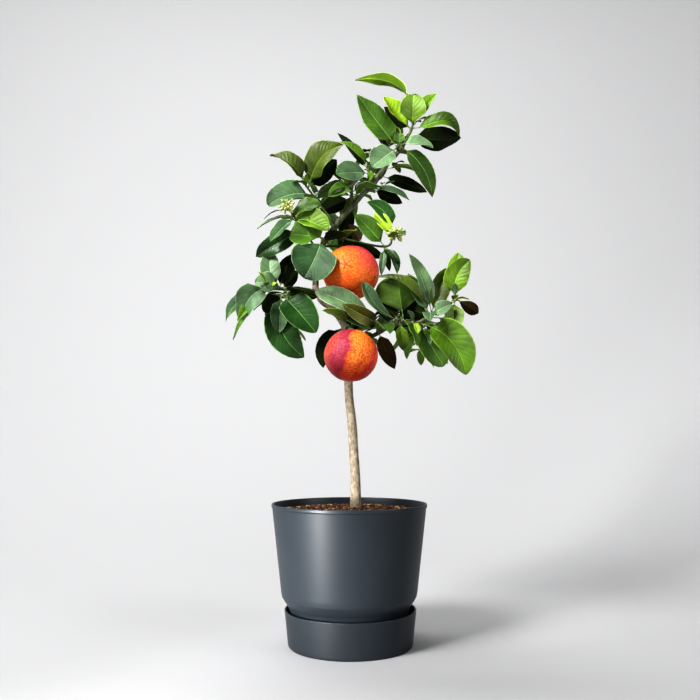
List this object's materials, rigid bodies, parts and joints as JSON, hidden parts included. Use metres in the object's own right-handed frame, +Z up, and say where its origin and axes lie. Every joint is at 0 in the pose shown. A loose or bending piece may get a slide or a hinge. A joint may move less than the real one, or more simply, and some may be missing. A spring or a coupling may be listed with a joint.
{
  "type": "potted orange tree",
  "caption": "Small fruiting orange tree with a bare stem, forked leader, boughs and leafy crown, standing in a round plastic pot with a deep matching saucer.",
  "frame": {"origin": "centre of the saucer's flat underside", "axes": "+Z up along the trunk, -Y towards the side the picture shows, +X to its right"},
  "size_m": [0.4188, 0.3054, 0.955],
  "materials": {
    "saucer_plastic": "satin",
    "pot_plastic": "satin",
    "soil": "rough",
    "bark": "rough",
    "foliage": "satin"
  },
  "bodies": {
    "root": {"saucer": "saucer_plastic", "pot": "pot_plastic", "soil": "soil", "trunk": "bark", "leader_low": "bark", "leader_mid": "bark", "leader_top": "bark", "right_bough": "bark", "left_bough": "bark", "back_bough": "bark", "foliage_top_tuft": "foliage", "foliage_top_fan": "foliage", "foliage_upper_right": "foliage", "foliage_upper_left": "foliage", "foliage_mid_left": "foliage", "foliage_left_pair": "foliage", "foliage_left_buds": "foliage", "foliage_big_leaf": "foliage", "foliage_right_buds": "foliage", "foliage_fruit_upper": "foliage", "foliage_left_low": "foliage", "foliage_left_drop": "foliage", "foliage_centre_low": "foliage", "foliage_fruit_lower": "foliage", "foliage_right_mid": "foliage", "foliage_right_tall": "foliage", "foliage_right_tip": "foliage", "foliage_right_low": "foliage", "foliage_back_middle": "foliage", "foliage_back_right": "foliage", "foliage_back_left": "foliage", "foliage_back_upper": "foliage", "foliage_back_high": "foliage", "foliage_back_top": "foliage", "foliage_back_low": "foliage", "foliage_back_trunk": "foliage"}
  },
  "joints": []
}
